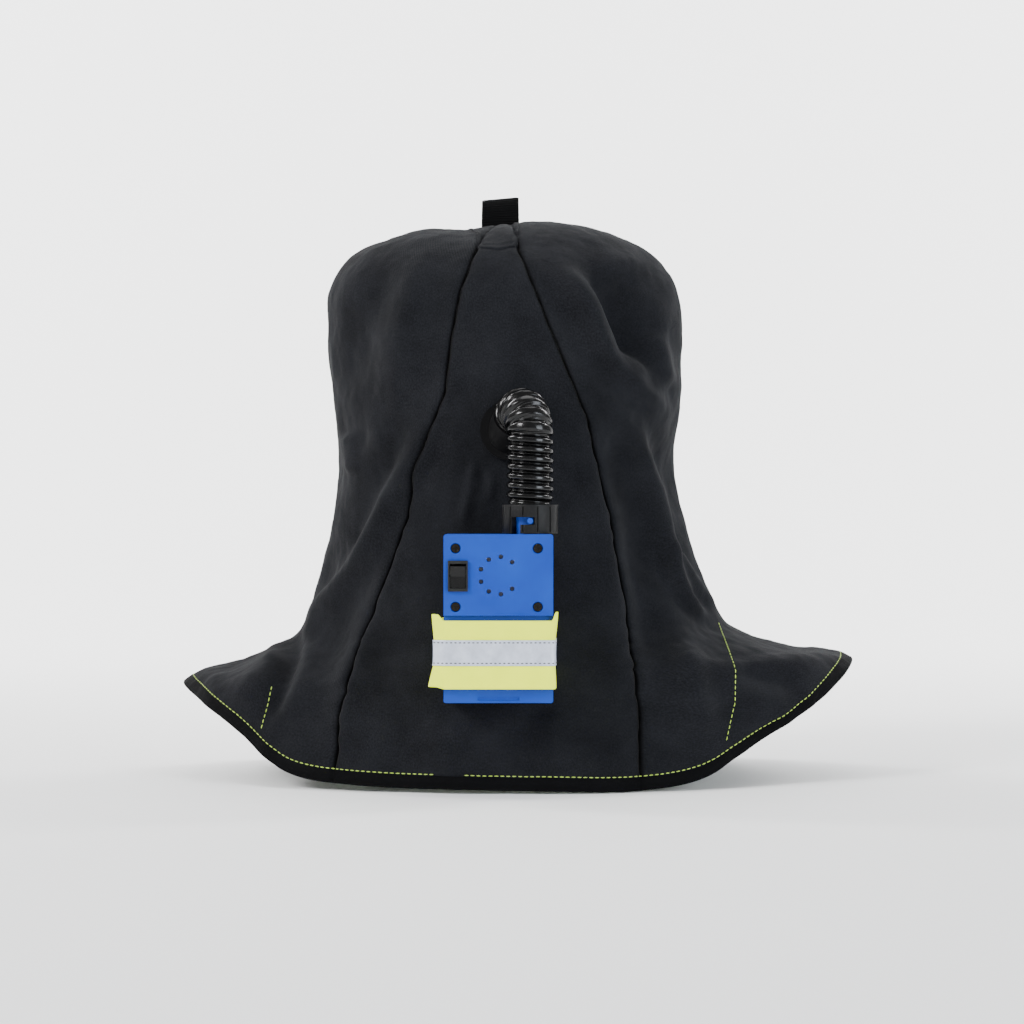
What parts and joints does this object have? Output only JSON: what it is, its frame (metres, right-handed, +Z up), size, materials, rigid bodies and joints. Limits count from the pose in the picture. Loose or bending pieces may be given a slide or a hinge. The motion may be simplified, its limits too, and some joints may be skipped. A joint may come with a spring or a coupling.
{
  "type": "powered air respirator hood",
  "caption": "Black fabric respirator hood with face window, head harness, hanging loop and a back-mounted blue battery blower unit feeding air through a short ribbed hose.",
  "frame": {"origin": "middle of the head at the height where the headband meets the forehead", "axes": "+X to the wearer's right, +Y where the wearer looks, +Z up; the blower unit is at -Y"},
  "size_m": [0.489, 0.3669, 0.421],
  "materials": {
    "hood_cloth": "black flame-resistant twill, napped",
    "hem_tape": "black binding tape",
    "webbing_black": "ribbed black webbing",
    "lens_clear": "clear moulded sheet",
    "trim_black": "fine grain",
    "unit_blue": "fine moulded grain, blue",
    "screw_black": "black oxide",
    "switch_grey": "satin",
    "switch_black": "semi gloss",
    "hose_black": "glossy ribbed",
    "strap_yellow": "fluorescent woven",
    "tape_silver": "retroreflective",
    "pad_foam": "spacer fabric",
    "filter_foam": "pleated filter felt",
    "inner_plastic": "satin",
    "impeller_white": "satin",
    "steel": "ground",
    "board_green": "solder mask",
    "cell_wrap": "shrink wrap",
    "brass": "plated",
    "cap_plastic": "moulded",
    "band_plastic": "moulded",
    "sweat_cloth": "terry",
    "duct_plastic": "moulded",
    "seal_rubber": "soft"
  },
  "bodies": {
    "hood": {"hood_back_panel": "hood_cloth", "hood_crown_panel": "hood_cloth", "hood_left_panel": "hood_cloth", "hood_right_panel": "hood_cloth", "hood_front_panel": "hood_cloth", "cape_left_wing": "hood_cloth", "cape_right_wing": "hood_cloth", "hem_binding": "hem_tape", "hanging_loop": "webbing_black", "window_frame": "trim_black", "window_lens": "lens_clear", "unit_base": "unit_blue", "fan_cover": "unit_blue", "cover_screws": "screw_black", "switch_body": "switch_grey", "blower_scroll": "inner_plastic", "motor": "steel", "shaft_bearing": "brass", "intake_filter": "filter_foam", "circuit_board": "board_green", "charge_jack": "trim_black", "switch_leads": "seal_rubber", "battery_leads": "seal_rubber", "battery_cells": "cell_wrap", "cell_carrier": "inner_plastic", "battery_contacts": "brass", "unit_strap": "strap_yellow", "reflective_tape": "tape_silver", "unit_pad": "pad_foam", "outlet_spigot": "unit_blue", "spigot_seal": "seal_rubber", "hose_end_fitting": "inner_plastic", "breathing_hose": "hose_black", "port_flange": "seal_rubber", "port_ring": "inner_plastic", "cap_shell": "cap_plastic", "air_duct": "duct_plastic", "air_nozzle": "duct_plastic", "headband": "band_plastic", "sweatband": "sweat_cloth", "band_hangers": "band_plastic", "crown_strap_left": "webbing_black", "crown_strap_right": "webbing_black", "ratchet_housing": "band_plastic", "nape_pad": "sweat_cloth", "side_bracket_left": "band_plastic", "side_bracket_right": "band_plastic", "bracket_screws": "steel"},
    "rocker": {"switch_rocker": "switch_black"},
    "rotor": {"impeller": "impeller_white", "rotor_shaft": "steel"},
    "knob": {"ratchet_knob": "band_plastic", "ratchet_pinion": "inner_plastic"},
    "rack_left": {"rack_left": "band_plastic"},
    "rack_right": {"rack_right": "band_plastic"},
    "collar": {"hose_collar": "trim_black"},
    "battery_door": {"battery_cover": "unit_blue"}
  },
  "joints": [
    {"name": "rocker_tilt", "type": "hinge", "parent": "hood", "child": "rocker", "pos_m": [-0.0313, -0.1884, -0.1232], "axis": [1, 0, 0], "range_deg": [-22, 0]},
    {"name": "impeller_spin", "type": "hinge", "parent": "hood", "child": "rotor", "pos_m": [-0.0037, -0.165, -0.1228], "axis": [0, 1, 0], "continuous": true},
    {"name": "ratchet_turn", "type": "hinge", "parent": "hood", "child": "knob", "pos_m": [0, -0.099, -0.062], "axis": [0, 1, 0], "range_deg": [-120, 120]},
    {"name": "rack_left_slide", "type": "slide", "parent": "hood", "child": "rack_left", "axis": [1, 0, 0], "range_m": [-0.0106, 0.0106]},
    {"name": "rack_right_slide", "type": "slide", "parent": "hood", "child": "rack_right", "axis": [1, 0, 0], "range_m": [-0.0106, 0.0106]},
    {"name": "collar_turn", "type": "hinge", "parent": "hood", "child": "collar", "pos_m": [0.0175, -0.17, -0.085], "axis": [0, 0, 1], "range_deg": [0, 30]},
    {"name": "battery_door_slide", "type": "slide", "parent": "hood", "child": "battery_door", "axis": [0, 0, -1], "range_m": [0, 0.045]}
  ],
  "couplings": [
    {"joint": "rack_left_slide", "follows": "ratchet_turn", "m_per_rad": 0.005},
    {"joint": "rack_right_slide", "follows": "ratchet_turn", "m_per_rad": -0.005}
  ]
}
